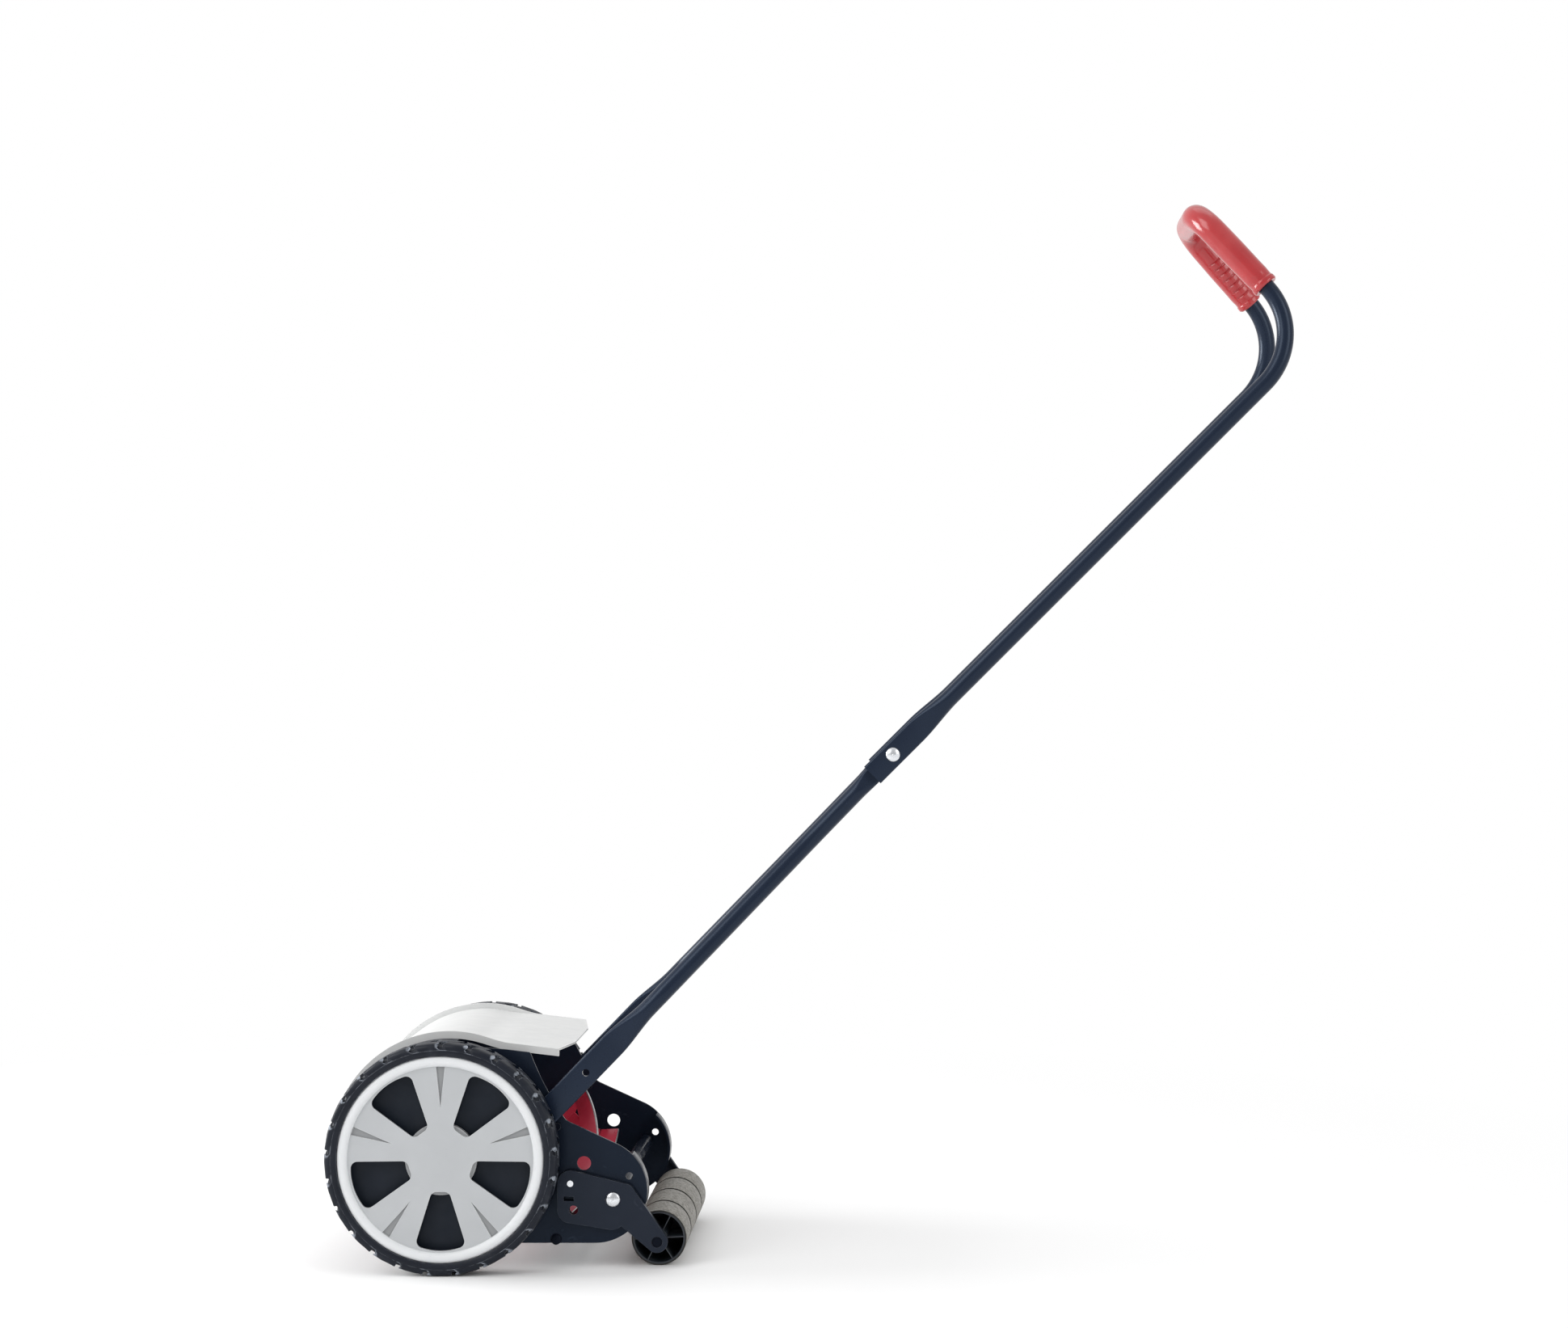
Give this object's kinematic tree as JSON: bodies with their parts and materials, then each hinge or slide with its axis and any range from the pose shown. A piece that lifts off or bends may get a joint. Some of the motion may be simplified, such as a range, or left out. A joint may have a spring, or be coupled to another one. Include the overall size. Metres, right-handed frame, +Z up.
{
  "type": "reel mower",
  "caption": "Hand-pushed reel mower with spoked wheels, helical blades under a curved cover, a rear roller and a folding handle.",
  "frame": {"origin": "on the ground, midway between the two wheels and straight under their axle", "axes": "+X to the rear, +Y along the wheel axle to the mower's right, +Z up"},
  "size_m": [1.0542, 0.378, 1.1696],
  "materials": {
    "black_paint": "glossy black enamel on steel",
    "bracket_paint": "satin grey-black powder coat on steel",
    "black_bolt": "black-finished steel",
    "tube_paint": "glossy blue-black enamel on steel tube",
    "reel_red": "red enamel, ground bright along the cutting edges",
    "knife_steel": "ground tool steel",
    "axle_steel": "turned steel",
    "spring_steel": "oiled spring steel",
    "gear_iron": "sintered iron",
    "zinc": "bright zinc plate",
    "bush_bronze": "sintered bronze",
    "bearing_black": "moulded nylon",
    "tyre_rubber": "soft black rubber",
    "wheel_black": "black moulded plastic",
    "cap_grey": "satin silver-grey plastic",
    "cover_grey": "light grey plastic",
    "roller_black": "black moulded plastic",
    "roller_grey": "mottled grey plastic",
    "grip_red": "soft red rubbery plastic"
  },
  "bodies": {
    "chassis": {"side_plate_left": "black_paint", "side_plate_right": "black_paint", "rear_tie_rod": "black_paint", "front_tie_rod": "black_paint", "bed_knife_bar": "black_paint", "bed_knife": "knife_steel", "bed_knife_screws": "zinc", "knife_bar_bolts": "black_bolt", "deck_cover": "cover_grey", "wheel_axle_left": "axle_steel", "wheel_axle_right": "axle_steel", "axle_washers": "zinc", "axle_circlips": "spring_steel", "reel_bearing_left": "bearing_black", "reel_bearing_right": "bearing_black", "handle_pivot_bolts": "black_bolt", "handle_pivot_nuts": "zinc", "handle_stop_pins": "black_bolt", "bracket_bolts": "zinc", "bracket_nuts": "zinc"},
    "left_wheel": {"tyre_left": "tyre_rubber", "wheel_disc_left": "wheel_black", "wheel_cap_left": "cap_grey", "wheel_bush_left": "bush_bronze"},
    "right_wheel": {"tyre_right": "tyre_rubber", "wheel_disc_right": "wheel_black", "wheel_cap_right": "cap_grey", "wheel_bush_right": "bush_bronze"},
    "reel": {"reel_shaft": "axle_steel", "reel_spider_1": "reel_red", "reel_spider_2": "reel_red", "reel_spider_3": "reel_red", "reel_spider_4": "reel_red", "reel_blade_1": "reel_red", "reel_blade_2": "reel_red", "reel_blade_3": "reel_red", "reel_blade_4": "reel_red", "reel_blade_5": "reel_red", "pinion_left": "gear_iron", "pinion_right": "gear_iron", "ratchet_keys": "spring_steel", "pinion_circlips": "spring_steel"},
    "roller_carrier": {"roller_bracket_left": "bracket_paint", "roller_bracket_right": "bracket_paint", "locating_rivets": "zinc", "roller_axle": "black_bolt"},
    "roller": {"roller_core": "roller_black", "roller_sleeve_1": "roller_grey", "roller_sleeve_2": "roller_grey", "roller_sleeve_3": "roller_grey", "roller_sleeve_4": "roller_grey"},
    "lower_handle": {"lower_tube_left": "tube_paint", "lower_tube_right": "tube_paint"},
    "upper_handle": {"upper_tube": "tube_paint", "handle_grip": "grip_red", "joint_bolts": "zinc", "joint_washers": "zinc", "joint_nuts": "zinc"}
  },
  "joints": [
    {"name": "wheel_left_spin", "type": "hinge", "parent": "chassis", "child": "left_wheel", "pos_m": [0, -0.171, 0.125], "axis": [0, 1, 0], "continuous": true},
    {"name": "wheel_right_spin", "type": "hinge", "parent": "chassis", "child": "right_wheel", "pos_m": [0, 0.171, 0.125], "axis": [0, 1, 0], "continuous": true},
    {"name": "reel_spin", "type": "hinge", "parent": "chassis", "child": "reel", "pos_m": [0.088, 0, 0.10086], "axis": [0, 1, 0], "continuous": true},
    {"name": "height_adjust", "type": "hinge", "parent": "chassis", "child": "roller_carrier", "pos_m": [0.1813, 0, 0.0763], "axis": [0, 1, 0], "range_deg": [0, 35]},
    {"name": "roller_spin", "type": "hinge", "parent": "roller_carrier", "child": "roller", "pos_m": [0.229, 0, 0.03], "axis": [0, 1, 0], "continuous": true},
    {"name": "handle_pivot", "type": "hinge", "parent": "chassis", "child": "lower_handle", "pos_m": [0.09, 0, 0.1493], "axis": [0, -1, 0], "range_deg": [0, 80]},
    {"name": "handle_fold", "type": "hinge", "parent": "lower_handle", "child": "upper_handle", "pos_m": [0.4836, 0, 0.5558], "axis": [0, -1, 0], "range_deg": [0, 120]}
  ],
  "couplings": [
    {"joint": "wheel_right_spin", "follows": "wheel_left_spin", "ratio": 1},
    {"joint": "reel_spin", "follows": "wheel_left_spin", "ratio": 7.6364}
  ]
}
